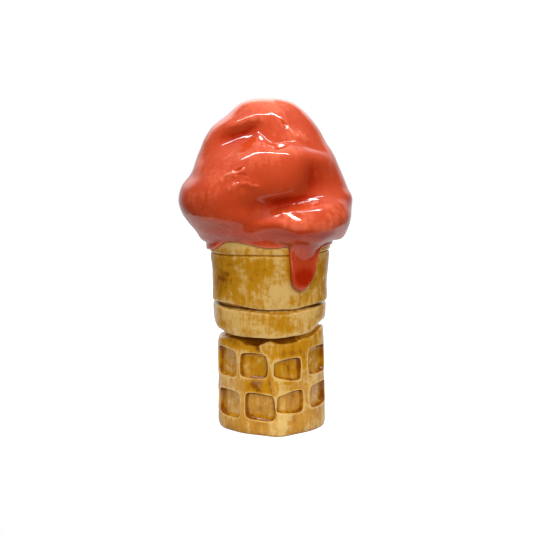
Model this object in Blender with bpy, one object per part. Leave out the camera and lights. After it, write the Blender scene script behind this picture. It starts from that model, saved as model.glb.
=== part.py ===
"""A life-size ice cream cone of glazed ceramic, built by hand from clay.

Four pieces of clay stand on each other: a waffle base with pressed pockets, a
plain collar band, a cup with a rolled lip, and a melting scoop whose skirt and
one drip hang over the lip. Metres, +Z up. The origin is the middle of the foot,
and -Y is the side that shows the drip.

Places on the pieces are given as a bearing in degrees, from -Y towards +X, and a
height in millimetres.
"""

import math
import random
from typing import NamedTuple

import bmesh
import bpy
import numpy as np
from mathutils import Vector

MM = 0.001

# Driving dimensions, from the foot upwards.
BASE_RADIUS = 23.0 * MM
BASE_SHOULDER = 41.8 * MM
NECK_RADIUS = 20.6 * MM
NECK_TOP = 44.2 * MM
COLLAR_RADIUS = 24.9 * MM
SEAM_HEIGHT = 55.0 * MM
CUP_RADIUS = 25.0 * MM
LIP_RADIUS = 26.2 * MM
GROOVE_HEIGHT = 77.9 * MM
CUP_TOP = 86.0 * MM
SCOOP_TOP = 144.0 * MM

# The gap that keeps two pieces of clay from sharing material.
CLEARANCE = 0.3 * MM

# How finely the round pieces are divided.
RING_STEPS = 40
SCOOP_STEPS = 180
SCOOP_RINGS = 110
SCOOP_VOXEL = 0.9 * MM
SCOOP_TRIANGLE_SHARE = 0.12


def along(points, x):
    """The values at x of a smooth curve through the (x, value) points."""
    at, value = np.array(points, dtype=float).T
    slope = np.gradient(value, at)
    n = np.clip(np.searchsorted(at, x, side="right") - 1, 0, len(at) - 2)
    reach = at[n + 1] - at[n]
    share = np.clip((x - at[n]) / reach, 0.0, 1.0)
    ease = share * share * (3 - 2 * share)
    lean = share * (1 - share) * reach * ((1 - share) * slope[n] - share * slope[n + 1])
    return value[n] * (1 - ease) + value[n + 1] * ease + lean


def wave(bearing, *terms):
    """A hand's unevenness round a ring: a sum of (size, count, phase in degrees)."""
    return sum(size * math.cos(count * bearing + math.radians(phase)) for size, count, phase in terms)


def wrapped(degrees):
    """The same bearing between -180 and 180."""
    return (degrees + 180.0) % 360.0 - 180.0


def dip(bearing, middle_deg, spread_deg):
    """1 at one bearing, falling smoothly to 0 away from it."""
    return math.exp(-((wrapped(math.degrees(bearing) - middle_deg) / spread_deg) ** 2))


def place(radius, bearing, height):
    """A point by its radius, its bearing and its height."""
    return Vector((radius * math.sin(bearing), -radius * math.cos(bearing), height))


def clear_scene():
    for old in list(bpy.data.objects):
        bpy.data.objects.remove(old)


def glaze(name, colour, roughness):
    """A glossy glaze: a Principled BSDF of one colour."""
    material = bpy.data.materials.new(name)
    material.use_nodes = True
    shader = material.node_tree.nodes["Principled BSDF"]
    shader.inputs["Base Color"].default_value = (*colour, 1.0)
    shader.inputs["Roughness"].default_value = roughness
    shader.inputs["Metallic"].default_value = 0.0
    return material


def add_object(name, bm, material=None, smooth_deg=50):
    mesh = bpy.data.meshes.new(name)
    bm.to_mesh(mesh)
    bm.free()
    mesh.shade_smooth()
    mesh.set_sharp_from_angle(angle=math.radians(smooth_deg))
    obj = bpy.data.objects.new(name, mesh)
    bpy.context.scene.collection.objects.link(obj)
    if material:
        mesh.materials.append(material)
    return obj


def skin(bm, rows):
    """Faces between rows of vertices that each go once round, and a cap on each end.
    The faces come back as one list for each pair of rows."""
    bands = []
    for lower, upper in zip(rows, rows[1:]):
        band = []
        for step in range(len(lower)):
            after = (step + 1) % len(lower)
            band.append(bm.faces.new((lower[step], lower[after], upper[after], upper[step])))
        bands.append(band)
    bm.faces.new(rows[0][::-1])
    bm.faces.new(rows[-1])
    return bands


def turned_body(rings, steps=RING_STEPS):
    """A closed body skinned through rings, each a function of the bearing that gives
    (radius, height)."""
    bm = bmesh.new()
    bearings = [2 * math.pi * step / steps for step in range(steps)]
    rows = []
    for ring in rings:
        rows.append([bm.verts.new(place(ring(b)[0], b, ring(b)[1])) for b in bearings])
    skin(bm, rows)
    return bm


# The waffle base.

POCKET_COLUMNS = 9
POCKET_GRID = (-1.0, -0.36, 0.36, 1.0)
POCKET_CORNER = 0.16
# Each step of pressing a pocket in: how far inwards and how far down.
POCKET_PRESSES = ((0.3 * MM, -0.25 * MM), (0.35 * MM, -1.6 * MM), (0.9 * MM, -0.5 * MM))
CLAY_SEED = 11


class Pocket(NamedTuple):
    """A pressed pocket of the waffle. It is wide in degrees and tall in millimetres,
    its right side is higher than its left by the lift, and taller by the flare."""

    bearing: float
    height: float
    wide: float
    tall: float
    lift: float = 0.0
    flare: float = 0.0


# The pockets that face the front. The rest follow them by rule.
FRONT_POCKETS = {
    "low": (
        Pocket(-52, 12.9, 40, 12.8, -0.6),
        Pocket(-11, 12.9, 36, 12.8, -0.9),
        Pocket(22, 14.8, 34, 10.4, 0.8, 2.8),
        Pocket(64, 16.2, 39, 11.4, 0.6),
    ),
    "high": (
        Pocket(-56, 30.8, 38, 13.4, -0.4, -1.0),
        Pocket(-18, 30.7, 35, 11.8, 0.2),
        Pocket(19, 29.2, 34, 10.2, -0.2, 4.0),
        Pocket(62, 31.6, 39, 13.2, 0.0),
    ),
}

# The shoulder under the collar is bitten by half pockets: bearing, spread and depth.
SHOULDER_BITES = (
    (-82, 16, 1.9), (-22, 10, 1.8), (-9, 4, 1.4), (22, 9, 2.2), (133, 10, 1.6), (170, 10, 2.2),
    (-152, 10, 1.8), (-116, 10, 2.0),
)
SHOULDER_RISE = 3.7 * MM
NECK_RISE = 1.9 * MM


def base_radius(bearing, height):
    """The base is a slab rolled up by hand, with a nose where its ends meet in front."""
    share = height / BASE_SHOULDER
    nose = dip(bearing, 11, 15) * (2.5 - 2.3 * share) + 0.9 * dip(bearing, 78, 34) * (1.0 - share)
    lean = wave(bearing, (0.65 * MM, 1, -90), (0.2 * MM, 3, 200), (0.15 * MM, 5, 10))
    return BASE_RADIUS + nose * MM + lean


def shoulder_height(bearing):
    """The upper edge of the base."""
    bites = sum(depth * dip(bearing, middle, spread) for middle, spread, depth in SHOULDER_BITES)
    return BASE_SHOULDER - bites * MM + SHOULDER_RISE * dip(bearing, 84, 26)


def neck_top(bearing):
    """The top of the base, under the collar."""
    return NECK_TOP + NECK_RISE * dip(bearing, 84, 26)


def heel_height(bearing):
    """How far the rounded lower edge of the base rises at its outside."""
    rise = 1.2 * dip(bearing, -40, 26) + 1.6 * dip(bearing, 52, 18) + 0.8 * dip(bearing, 160, 50)
    return (1.4 + rise) * MM


def pocket_rows():
    """Every pocket of the base, row by row: the ones in front, then the rest by rule."""
    rng = random.Random(CLAY_SEED)
    rows = []
    for front in FRONT_POCKETS.values():
        row = list(front)
        missing = POCKET_COLUMNS - len(front)
        start = front[-1].bearing + front[-1].wide / 2
        pitch = (360 + front[0].bearing - front[0].wide / 2 - start) / missing
        height = sum(pocket.height for pocket in front) / len(front)
        for n in range(missing):
            row.append(
                Pocket(
                    bearing=start + pitch * (n + 0.5) + rng.uniform(-1.0, 1.0),
                    height=height + rng.uniform(-0.5, 0.5),
                    wide=pitch * rng.uniform(0.74, 0.8),
                    tall=rng.uniform(9.6, 11.2),
                    lift=rng.uniform(-0.6, 0.8),
                    flare=rng.uniform(-0.5, 1.2),
                )
            )
        rows.append(row)
    return rows


def pocket_point(pocket, side, end):
    """A point of a pocket's grid: side runs from -1 at its left edge to 1 at its right,
    and end from -1 at its lower edge to 1 at its upper. The corners are rounded in."""
    if abs(side) == 1 and abs(end) == 1:
        side *= 1 - POCKET_CORNER
        end *= 1 - POCKET_CORNER
    bearing = math.radians(pocket.bearing + side * pocket.wide / 2)
    tall = pocket.tall + side * pocket.flare / 2
    return bearing, (pocket.height + (end * tall + side * pocket.lift) / 2) * MM


def build_base(material):
    """A grid of pockets and ribs skinned round a drum, with its pockets pressed in."""
    rows = pocket_rows()
    grid = []
    for row in rows:
        for end in POCKET_GRID:
            grid.append([pocket_point(pocket, side, end) for pocket in row for side in POCKET_GRID])
    low, high = [b for b, _ in grid[0]], [b for b, _ in grid[-1]]
    bm = bmesh.new()

    def ring(bearings, height, inwards=0.0, radius=None):
        """A row of vertices at a height, on the wall or on a circle of their own."""
        made = []
        for bearing in bearings:
            z = height(bearing)
            wall = base_radius(bearing, z) - inwards if radius is None else radius
            made.append(bm.verts.new(place(wall, bearing, z)))
        return made

    heel_rows = [
        ring(low, lambda b: 0.0, radius=BASE_RADIUS - 5.0 * MM),
        ring(low, lambda b: 0.0, inwards=2.0 * MM),
        ring(low, lambda b: heel_height(b) * 0.35, inwards=0.8 * MM),
        ring(low, heel_height, inwards=0.15 * MM),
        ring(low, lambda b: heel_height(b) + 2.2 * MM),
    ]
    wall_rows = [[bm.verts.new(place(base_radius(b, z), b, z)) for b, z in level] for level in grid]
    shoulder_rows = [
        ring(high, lambda b: shoulder_height(b) - 1.6 * MM),
        ring(high, lambda b: shoulder_height(b) - 0.35 * MM, inwards=0.25 * MM),
        ring(high, shoulder_height, inwards=0.9 * MM),
        ring(high, lambda b: shoulder_height(b) - 0.3 * MM, radius=NECK_RADIUS + 0.1 * MM),
        ring(high, neck_top, radius=NECK_RADIUS),
    ]
    bands = skin(bm, heel_rows + wall_rows + shoulder_rows)

    segments = len(POCKET_GRID) - 1
    pressed = []
    for row in range(len(rows)):
        first = len(heel_rows) + row * len(POCKET_GRID)
        for band in bands[first:first + segments]:
            pressed += [face for step, face in enumerate(band) if step % len(POCKET_GRID) != segments]
    bm.normal_update()
    for thickness, depth in POCKET_PRESSES:
        bmesh.ops.inset_region(
            bm, faces=pressed, thickness=thickness, depth=depth, use_even_offset=True, use_boundary=True
        )
    return add_object("waffle_base", bm, material, smooth_deg=70)


# The collar band and the cup.

# The lower edge of the collar.
COLLAR_HEM = (
    (-180, 45.0), (-120, 46.0), (-87, 46.6), (-75, 45.3), (-58, 44.6), (-42, 43.4), (-12, 42.9),
    (6, 42.8), (21, 43.2), (39, 43.8), (48, 44.6), (65, 47.6), (90, 48.2), (130, 46.6), (180, 45.0),
)


def crease_height(bearing):
    """The open crease between the collar and the cup dips towards the front."""
    return SEAM_HEIGHT + (0.9 - 1.8 * dip(bearing, 8, 36)) * MM + wave(bearing, (0.15 * MM, 5, 30))


def crease_gap(bearing):
    """The crease opens widest at the front left, and again at the front."""
    opened = 1.3 * dip(bearing, -44, 19) + 0.7 * dip(bearing, 10, 15) + 0.5 * dip(bearing, 46, 18)
    return (1.1 + opened) * MM


def build_collar(material):
    def hem(bearing):
        return along(COLLAR_HEM, wrapped(math.degrees(bearing))) * MM

    def out(bearing):
        return COLLAR_RADIUS + wave(bearing, (0.2 * MM, 3, 20), (0.15 * MM, 7, 0))

    def top(bearing):
        return crease_height(bearing) - crease_gap(bearing) / 2

    rings = [
        lambda b: (NECK_RADIUS - 1.0 * MM, neck_top(b) + 2 * CLEARANCE),
        lambda b: (NECK_RADIUS + 0.7 * MM, neck_top(b) + 2 * CLEARANCE),
        lambda b: (out(b) - 1.6 * MM, hem(b) + 0.6 * MM),
        lambda b: (out(b) - 1.1 * MM, hem(b)),
        lambda b: (out(b) - 0.5 * MM, hem(b) + 0.5 * MM),
        lambda b: (out(b) - 0.2 * MM, hem(b) + 2.2 * MM),
        lambda b: (out(b), (hem(b) + top(b)) / 2 + 1.0 * MM),
        lambda b: (out(b), top(b) - 1.3 * MM),
        lambda b: (out(b) - 0.25 * MM, top(b) - 0.3 * MM),
        lambda b: (out(b) - 0.9 * MM, top(b)),
        lambda b: (NECK_RADIUS + 1.6 * MM, SEAM_HEIGHT - CLEARANCE / 2 - 0.1 * MM),
        lambda b: (NECK_RADIUS + 0.6 * MM, SEAM_HEIGHT - CLEARANCE / 2),
    ]
    return add_object("collar_band", turned_body(rings), material)


def cup_rings(clear=0.0, bottom=None):
    """The cup's rings from its seam to its top. The scoop is cut by the same rings,
    made bigger by the clearance."""

    def wall(bearing, size):
        flare = 0.5 * MM * dip(bearing, 90, 40)
        return size + clear + flare + wave(bearing, (0.18 * MM, 2, 70), (0.14 * MM, 5, 20))

    def hem(bearing):
        return crease_height(bearing) + crease_gap(bearing) / 2

    def groove(bearing):
        return GROOVE_HEIGHT + wave(bearing, (0.35 * MM, 1, -80), (0.2 * MM, 4, 50))

    foot = [
        lambda b: (NECK_RADIUS + 0.6 * MM, SEAM_HEIGHT + CLEARANCE / 2),
        lambda b: (NECK_RADIUS + 1.6 * MM, SEAM_HEIGHT + CLEARANCE / 2 + 0.1 * MM),
        lambda b: (wall(b, CUP_RADIUS - 1.0 * MM), hem(b)),
        lambda b: (wall(b, CUP_RADIUS - 0.1 * MM), hem(b) + 0.5 * MM),
        lambda b: (wall(b, CUP_RADIUS + 0.1 * MM), hem(b) + 1.6 * MM),
    ]
    if bottom is not None:
        foot = [lambda b: (wall(b, CUP_RADIUS), bottom)]
    return foot + [
        lambda b: (wall(b, CUP_RADIUS - 0.1 * MM), 62.0 * MM),
        lambda b: (wall(b, CUP_RADIUS + 0.1 * MM), 69.0 * MM),
        lambda b: (wall(b, CUP_RADIUS + 0.6 * MM), 73.5 * MM),
        lambda b: (wall(b, CUP_RADIUS + 0.8 * MM), groove(b) - 1.2 * MM),
        lambda b: (wall(b, CUP_RADIUS + 0.55 * MM), groove(b) - 0.35 * MM),
        lambda b: (wall(b, CUP_RADIUS - 0.2 * MM), groove(b)),
        lambda b: (wall(b, LIP_RADIUS - 0.35 * MM), groove(b) + 0.45 * MM),
        lambda b: (wall(b, LIP_RADIUS + 0.1 * MM), groove(b) + 1.4 * MM),
        lambda b: (wall(b, LIP_RADIUS - 0.25 * MM), groove(b) + 3.2 * MM),
        lambda b: (wall(b, LIP_RADIUS - 0.7 * MM), CUP_TOP - 0.8 * MM + clear),
        lambda b: (wall(b, LIP_RADIUS - 1.8 * MM), CUP_TOP + clear),
    ]


def build_cup(material):
    return add_object("cup", turned_body(cup_rings()), material)


# The scoop.

# The scoop's folds from the crown down, each a line round it: bearing, height and radius.
FOLDS = {
    "crown": (
        (-90, 142.4, 11.6), (-65, 142.2, 11.4), (-45, 141.8, 10.8), (-28, 141.6, 9.8), (-12, 141.6, 8.8),
        (4, 141.6, 8.2), (20, 141.4, 7.8), (38, 141.4, 8.4), (56, 141.8, 9.2), (75, 142.2, 9.6),
        (100, 142.2, 9.8), (135, 142.2, 10.0), (180, 142.2, 10.2), (-135, 142.4, 11.0),
    ),
    "temple": (
        (-90, 137.0, 18.2), (-65, 137.2, 17.6), (-45, 137.8, 15.8), (-28, 138.8, 13.9), (-12, 139.2, 12.3),
        (4, 138.4, 12.5), (20, 135.0, 15.0), (38, 134.8, 14.6), (56, 136.6, 14.9), (75, 136.8, 16.2),
        (100, 136.8, 16.6), (135, 137.2, 16.4), (180, 138.0, 16.0), (-135, 137.2, 17.4),
    ),
    "brow": (
        (-90, 131.2, 25.4), (-65, 131.0, 24.0), (-45, 132.2, 20.8), (-28, 135.0, 17.3), (-12, 136.4, 15.4),
        (4, 134.4, 15.3), (20, 131.0, 17.2), (38, 131.2, 17.0), (56, 130.4, 19.4), (75, 130.6, 21.2),
        (100, 130.4, 21.6), (135, 131.0, 21.0), (180, 132.0, 20.5), (-135, 131.5, 22.8),
    ),
    "hollow": (
        (-90, 126.9, 28.2), (-65, 126.6, 26.2), (-45, 128.0, 19.4), (-28, 130.6, 16.4), (-12, 131.8, 16.4),
        (4, 129.6, 17.6), (20, 127.6, 18.9), (38, 129.2, 19.6), (56, 126.6, 22.0), (75, 125.5, 24.1),
        (100, 125.5, 24.3), (135, 126.0, 24.5), (180, 126.5, 25.0), (-135, 127.0, 26.2),
    ),
    "crease": (
        (-90, 121.9, 30.3), (-65, 121.4, 28.6), (-45, 124.2, 22.8), (-28, 127.4, 18.0), (-16, 128.8, 17.8),
        (-8, 127.8, 18.4), (0, 124.8, 20.2), (9, 123.8, 20.9), (18, 124.6, 20.8), (26, 125.8, 20.8),
        (38, 124.2, 22.4), (56, 122.0, 25.0), (75, 121.7, 26.8), (100, 121.0, 27.0), (135, 121.0, 27.0),
        (180, 121.0, 27.5), (-135, 121.5, 29.0),
    ),
    "ledge": (
        (-90, 118.8, 31.6), (-65, 118.3, 30.4), (-45, 120.2, 27.0), (-28, 123.6, 22.4), (-12, 125.4, 22.4),
        (4, 123.4, 23.8), (20, 124.0, 23.4), (38, 122.6, 24.8), (56, 120.4, 26.8), (75, 119.2, 28.2),
        (100, 118.4, 28.6), (135, 118.2, 28.8), (180, 118.0, 29.4), (-135, 118.4, 31.0),
    ),
    "belly_edge": (
        (-90, 116.2, 32.4), (-65, 115.4, 32.4), (-45, 115.4, 31.0), (-28, 119.0, 28.6), (-12, 122.0, 27.0),
        (4, 122.6, 26.8), (20, 122.4, 26.4), (38, 120.6, 27.2), (56, 117.6, 28.6), (75, 116.3, 29.4),
        (100, 115.5, 30.0), (135, 115.0, 30.5), (180, 114.5, 31.0), (-135, 115.0, 32.6),
    ),
    "belly": (
        (-90, 112.2, 33.9), (-65, 110.8, 34.6), (-45, 110.4, 35.2), (-28, 111.6, 32.8), (-12, 113.2, 31.2),
        (4, 113.6, 31.6), (20, 113.0, 30.8), (38, 112.4, 27.6), (56, 112.0, 29.2), (75, 111.5, 31.1),
        (100, 110.0, 32.5), (135, 109.5, 33.0), (180, 109.0, 33.0), (-135, 110.0, 34.5),
    ),
    "hem": (
        (-90, 105.6, 38.5), (-65, 104.8, 38.9), (-45, 104.4, 37.8), (-28, 104.8, 35.2), (-12, 104.8, 31.8),
        (4, 104.8, 31.6), (20, 106.0, 30.4), (38, 107.4, 27.2), (56, 106.8, 30.2), (75, 106.0, 33.4),
        (100, 104.0, 34.7), (135, 103.5, 35.0), (180, 103.0, 35.5), (-135, 103.5, 37.0),
    ),
    "under_hem": (
        (-90, 99.4, 39.6), (-65, 98.8, 39.6), (-45, 98.5, 37.9), (-28, 98.8, 35.4), (-12, 99.4, 29.8),
        (4, 99.0, 27.2), (20, 100.6, 27.2), (38, 102.6, 28.6), (56, 103.2, 32.4), (75, 102.4, 35.8),
        (100, 99.8, 35.8), (135, 99.0, 35.8), (180, 98.5, 36.0), (-135, 99.0, 37.6),
    ),
    "lobe_edge": (
        (-90, 94.0, 38.0), (-65, 94.0, 37.4), (-45, 93.6, 36.6), (-28, 93.4, 34.8), (-12, 94.2, 30.6),
        (4, 95.4, 30.6), (20, 96.6, 33.6), (38, 98.4, 35.2), (56, 99.8, 36.4), (75, 97.6, 36.2),
        (100, 95.0, 35.3), (135, 94.5, 35.5), (180, 94.0, 35.5), (-135, 94.0, 36.5),
    ),
    "lobe": (
        (-90, 90.3, 35.6), (-65, 90.3, 34.8), (-45, 90.0, 33.6), (-28, 89.8, 31.8), (-12, 91.0, 30.8),
        (4, 92.2, 32.8), (20, 92.6, 36.8), (38, 92.8, 38.4), (56, 93.2, 38.6), (75, 93.0, 36.3),
        (100, 91.0, 34.9), (135, 90.0, 34.5), (180, 89.5, 34.0), (-135, 89.5, 34.5),
    ),
    "lobe_foot": (
        (-90, 86.4, 32.3), (-65, 86.2, 31.6), (-45, 86.3, 30.6), (-28, 86.6, 29.6), (-12, 87.0, 29.2),
        (4, 87.8, 30.4), (20, 88.4, 34.4), (38, 87.2, 36.2), (56, 87.9, 36.1), (75, 88.3, 35.0),
        (100, 87.0, 33.0), (135, 86.0, 31.8), (180, 85.5, 31.0), (-135, 85.5, 31.0),
    ),
    "skirt": (
        (-90, 82.6, 29.9), (-65, 83.2, 29.1), (-45, 84.6, 28.3), (-28, 84.8, 28.0), (-12, 84.2, 27.9),
        (4, 84.4, 27.9), (20, 85.4, 28.6), (38, 84.4, 28.7), (56, 84.0, 30.6), (75, 83.4, 31.6),
        (100, 83.0, 31.0), (135, 83.0, 29.1), (180, 82.6, 29.0), (-135, 82.6, 29.2),
    ),
}

# Where the scoop ends below: a wavy skirt on the lip, and one drip down the cup.
SKIRT_EDGE = (
    (-180, 80.4), (-140, 79.2), (-100, 78.0), (-78, 78.6), (-58, 80.2), (-50, 82.2), (-43, 83.6),
    (-34, 83.8), (-20, 83.0), (-4, 81.5), (8, 81.4), (15, 81.6), (18.2, 79.6), (19.3, 72.5), (20.4, 67.0),
    (22.8, 64.3), (26, 63.0), (29.5, 62.6), (33.5, 63.2), (37.5, 64.9), (41.8, 67.8), (45.4, 72.0),
    (48.2, 76.2), (51.5, 79.2), (58, 80.6), (66, 80.8), (90, 80.4), (130, 79.2), (180, 80.4),
)
# How the skirt falls to its edge: the share of the way left, and the radius there.
SKIRT_FALL = ((0.3, 27.7), (0.6, 28.2), (0.85, 28.5), (1.0, 27.9))
EDGE_ROUNDING = 0.9
SKIRT_INSIDE = 20.0
CROWN_RADIUS = 0.4
# A fold is averaged over these turns to each side, in degrees, with these weights.
FOLD_EASE = ((-8, -4, 0, 4, 8), (0.1, 0.24, 0.32, 0.24, 0.1))


def round_line(points, degrees):
    """The height and the radius of a fold at each bearing, smooth all the way round."""
    start = sorted(points)
    before = [(b - 360, z, r) for b, z, r in start[-3:]]
    after = [(b + 360, z, r) for b, z, r in start[:3]]
    closed = before + start + after
    even = np.zeros((2, len(degrees)))
    for turn, weight in zip(*FOLD_EASE):
        even += [weight * along([(p[0], p[axis]) for p in closed], degrees + turn) for axis in (1, 2)]
    return even


def lofted_dome(degrees):
    """The heights and the radii of rings, from the crown to the skirt's edge, on a
    smooth surface through the folds."""
    lines = [(np.full_like(degrees, SCOOP_TOP / MM), np.zeros_like(degrees))]
    lines += [round_line(points, degrees) for points in FOLDS.values()]
    edge = along(SKIRT_EDGE, degrees)
    for share, radius in SKIRT_FALL:
        lines.append((lines[-1][0] * (1 - share) + edge * share, np.full_like(degrees, radius)))
    heights, radii = np.array(lines).transpose(1, 0, 2)
    shares = np.linspace(0, 1, SCOOP_RINGS)
    made = np.empty((2, SCOOP_RINGS, len(degrees)))
    for n in range(len(degrees)):
        z = np.concatenate(([heights[1, n]], heights[:, n]))
        r = np.concatenate(([-radii[1, n]], radii[:, n]))
        walked = np.concatenate(([0.0], np.cumsum(np.hypot(np.diff(z), np.diff(r)))))
        walked -= walked[1]
        at = shares * walked[-1]
        made[0, :, n] = along(list(zip(walked, z)), at)
        made[1, :, n] = along(list(zip(walked, r)), at)
    return made


def scoop_body():
    """The dome, its skirt and the drip, from their lower edge to the crown."""
    bm = bmesh.new()
    degrees = wrapped(360.0 * np.arange(SCOOP_STEPS) / SCOOP_STEPS)
    heights, radii = lofted_dome(degrees)
    edge = heights[-1]
    radii = radii - EDGE_ROUNDING * np.exp((edge - heights) / EDGE_ROUNDING)
    radii = np.maximum(radii, CROWN_RADIUS)
    inside = [np.full_like(edge, SKIRT_INSIDE)]
    rows = []
    for r_row, z_row in zip(inside + list(radii[::-1]), [edge] + list(heights[::-1])):
        ring = zip(np.radians(degrees), r_row, z_row)
        rows.append([bm.verts.new(place(r * MM, b, z * MM)) for b, r, z in ring])
    skin(bm, rows)
    return bm


def build_scoop(material):
    """The dome and its drip, evened out, with the cup's shape cut out below."""
    scoop = add_object("scoop", scoop_body(), material)
    even = scoop.modifiers.new("even_out", "REMESH")
    even.mode = "VOXEL"
    even.voxel_size = SCOOP_VOXEL
    even.use_smooth_shade = True
    melt = scoop.modifiers.new("melt", "SMOOTH")
    melt.factor = 0.5
    melt.iterations = 4
    thin = scoop.modifiers.new("thin_out", "DECIMATE")
    thin.ratio = SCOOP_TRIANGLE_SHARE

    cutter_rings = cup_rings(clear=CLEARANCE, bottom=SEAM_HEIGHT + 5.0 * MM)
    cutter = add_object("cup_clearance", turned_body(cutter_rings))
    cutter.hide_render = True
    cutter.display_type = "WIRE"
    seat = scoop.modifiers.new("seat_on_cup", "BOOLEAN")
    seat.operation = "DIFFERENCE"
    seat.object = cutter
    return scoop


def main():
    clear_scene()
    honey = glaze("honey_glaze", (0.53, 0.27, 0.03), 0.1)
    coral = glaze("coral_glaze", (0.62, 0.08, 0.02), 0.08)
    build_base(honey)
    build_collar(honey)
    build_cup(honey)
    build_scoop(coral)


main()
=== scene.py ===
"""A hand-built ceramic ice cream cone: a waffle base, a collar, a cup with a rolled lip
and a melting scoop, dressed over its CAD frame.

The pieces are placed by a bearing, in degrees from -Y towards +X, and a height in
millimetres. +Z is up, and -Y is the side with the drip.
"""

import math
import random
from typing import NamedTuple

import bmesh
import bpy
import numpy as np
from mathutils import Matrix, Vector, noise


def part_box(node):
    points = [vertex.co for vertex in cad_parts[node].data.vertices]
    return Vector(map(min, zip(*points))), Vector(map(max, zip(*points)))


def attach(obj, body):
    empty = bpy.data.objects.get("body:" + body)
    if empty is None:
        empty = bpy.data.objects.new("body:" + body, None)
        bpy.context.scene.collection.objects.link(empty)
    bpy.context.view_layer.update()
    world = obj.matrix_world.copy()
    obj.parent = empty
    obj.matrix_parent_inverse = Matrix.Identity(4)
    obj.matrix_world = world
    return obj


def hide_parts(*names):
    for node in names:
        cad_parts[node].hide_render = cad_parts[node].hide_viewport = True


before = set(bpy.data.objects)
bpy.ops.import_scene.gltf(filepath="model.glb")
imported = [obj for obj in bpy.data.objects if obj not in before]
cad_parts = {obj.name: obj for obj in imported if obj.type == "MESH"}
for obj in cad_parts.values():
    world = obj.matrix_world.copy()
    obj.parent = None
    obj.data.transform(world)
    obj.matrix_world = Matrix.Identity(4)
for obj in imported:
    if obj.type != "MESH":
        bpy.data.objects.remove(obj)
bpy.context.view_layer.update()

bl_info = {
    "name": "Ceramic Ice Cream Cone",
    "version": (1, 0, 0),
    "blender": (4, 5, 0),
    "location": "View3D > Sidebar > Ceramic Cone",
    "description": "Models a hand-built, glazed ceramic ice cream cone",
    "category": "Object",
}

MM = 0.001
# Which lumps of clay each piece gets.
CLAY_SEEDS = {"base": 1, "scoop": 4, "collar": 5, "cup": 8}
# Nothing that is worked on from outside lies nearer to the axis than this.
INSIDE_RADIUS = 8.0 * MM
SMOOTH_ANGLE = math.radians(60.0)

SCOOP_LOW, SCOOP_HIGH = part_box("scoop")
BASE_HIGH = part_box("waffle_base")[1].z


# What a user would change.


def length(name, description, default, least=10.0 * MM, precision=4):
    """A size that a user can change."""
    return bpy.props.FloatProperty(
        name=name, description=description, default=default, min=least, unit="LENGTH",
        precision=precision,
    )


def colour(name, description, default):
    """A colour that a user can change."""
    return bpy.props.FloatVectorProperty(
        name=name, description=description, default=default, min=0.0, max=1.0, subtype="COLOR",
        size=3,
    )


class ClaySizes(bpy.types.PropertyGroup):
    """The driving sizes of the clay pieces."""

    base_radius: length("Base Radius", "Radius of the waffle base", 23.0 * MM)
    base_shoulder: length("Base Shoulder", "Height of the base's upper edge", 41.8 * MM)
    collar_radius: length("Collar Radius", "Radius of the plain band over the base", 24.9 * MM)
    cup_radius: length("Cup Radius", "Radius of the cup under its lip", 25.0 * MM)
    lip_radius: length("Lip Radius", "Radius of the cup's rolled lip", 26.2 * MM)
    scoop_top: length("Scoop Top", "Height of the scoop's crown", SCOOP_HIGH.z, 100.0 * MM)
    clay_grain: length(
        "Clay Unevenness", "How far the hand-worked clay wanders from true", 0.22 * MM, 0.0, 5
    )


class GlazeColours(bpy.types.PropertyGroup):
    """The colours of the two glazes."""

    honey: colour("Honey", "The amber glaze where it lies even", (0.5, 0.22, 0.006))
    honey_thin: colour(
        "Thin Honey", "The honey glaze where it runs thin over pale clay", (0.66, 0.42, 0.13)
    )
    # The pooled colour also paints shade in creases and in the recesses under the collar.
    honey_pooled: colour("Pooled Honey", "The honey glaze where it pools", (0.22, 0.06, 0.001))
    coral: colour("Coral", "The red glaze where it lies even", (0.48, 0.05, 0.012))
    coral_thin: colour("Thin Coral", "The coral glaze on ridges and edges", (0.7, 0.135, 0.06))
    # The pooled colour also paints shade in the scoop's hollows and under its overhangs.
    coral_pooled: colour("Pooled Coral", "The coral glaze where it pools", (0.36, 0.014, 0.0))


# Curves and places.


def along(points, x):
    """The values at x of a smooth curve through the (x, value) points."""
    at, value = np.array(points, dtype=float).T
    slope = np.gradient(value, at)
    n = np.clip(np.searchsorted(at, x, side="right") - 1, 0, len(at) - 2)
    reach = at[n + 1] - at[n]
    share = np.clip((x - at[n]) / reach, 0.0, 1.0)
    ease = share * share * (3 - 2 * share)
    lean = share * (1 - share) * reach * ((1 - share) * slope[n] - share * slope[n + 1])
    return value[n] * (1 - ease) + value[n + 1] * ease + lean


def wrapped(degrees):
    """The same bearing between -180 and 180."""
    return (degrees + 180.0) % 360.0 - 180.0


def dip(degrees, middle, spread):
    """1 at one bearing, falling smoothly to 0 away from it."""
    return np.exp(-((wrapped(degrees - middle) / spread) ** 2))


def dips(degrees, places):
    """The sum of several dips, each a bearing, a spread and a size."""
    return sum(size * dip(degrees, middle, spread) for middle, spread, size in places)


def wave(degrees, terms):
    """A hand's unevenness round a ring: a sum of (size, count, phase in degrees)."""
    return sum(size * np.cos(np.radians(count * degrees + phase)) for size, count, phase in terms)


def smooth_step(low, high, x):
    """0 below low, 1 above high, and an easy slope between them."""
    share = np.clip((x - low) / (high - low), 0.0, 1.0)
    return share * share * (3 - 2 * share)


def clay_noise(points, scale, seed):
    """Smooth noise between -1 and 1 at the points, its lumps about scale metres across."""
    shift = Vector((seed * 7.31, seed * 3.17, seed * 5.93))
    return np.array([noise.noise(Vector(p) / scale + shift) for p in points])


def lumps(points, kinds, seed):
    """The unevenness of worked clay: the sum of its kinds, each a size and a share."""
    return sum(share * clay_noise(points, size, seed + n) for n, (size, share) in enumerate(kinds))


# Work on meshes.


def select_none():
    if bpy.context.mode != "OBJECT":
        bpy.ops.object.mode_set(mode="OBJECT")
    bpy.ops.object.select_all(action="DESELECT")


def make_active(obj):
    select_none()
    obj.select_set(True)
    bpy.context.view_layer.objects.active = obj


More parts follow.
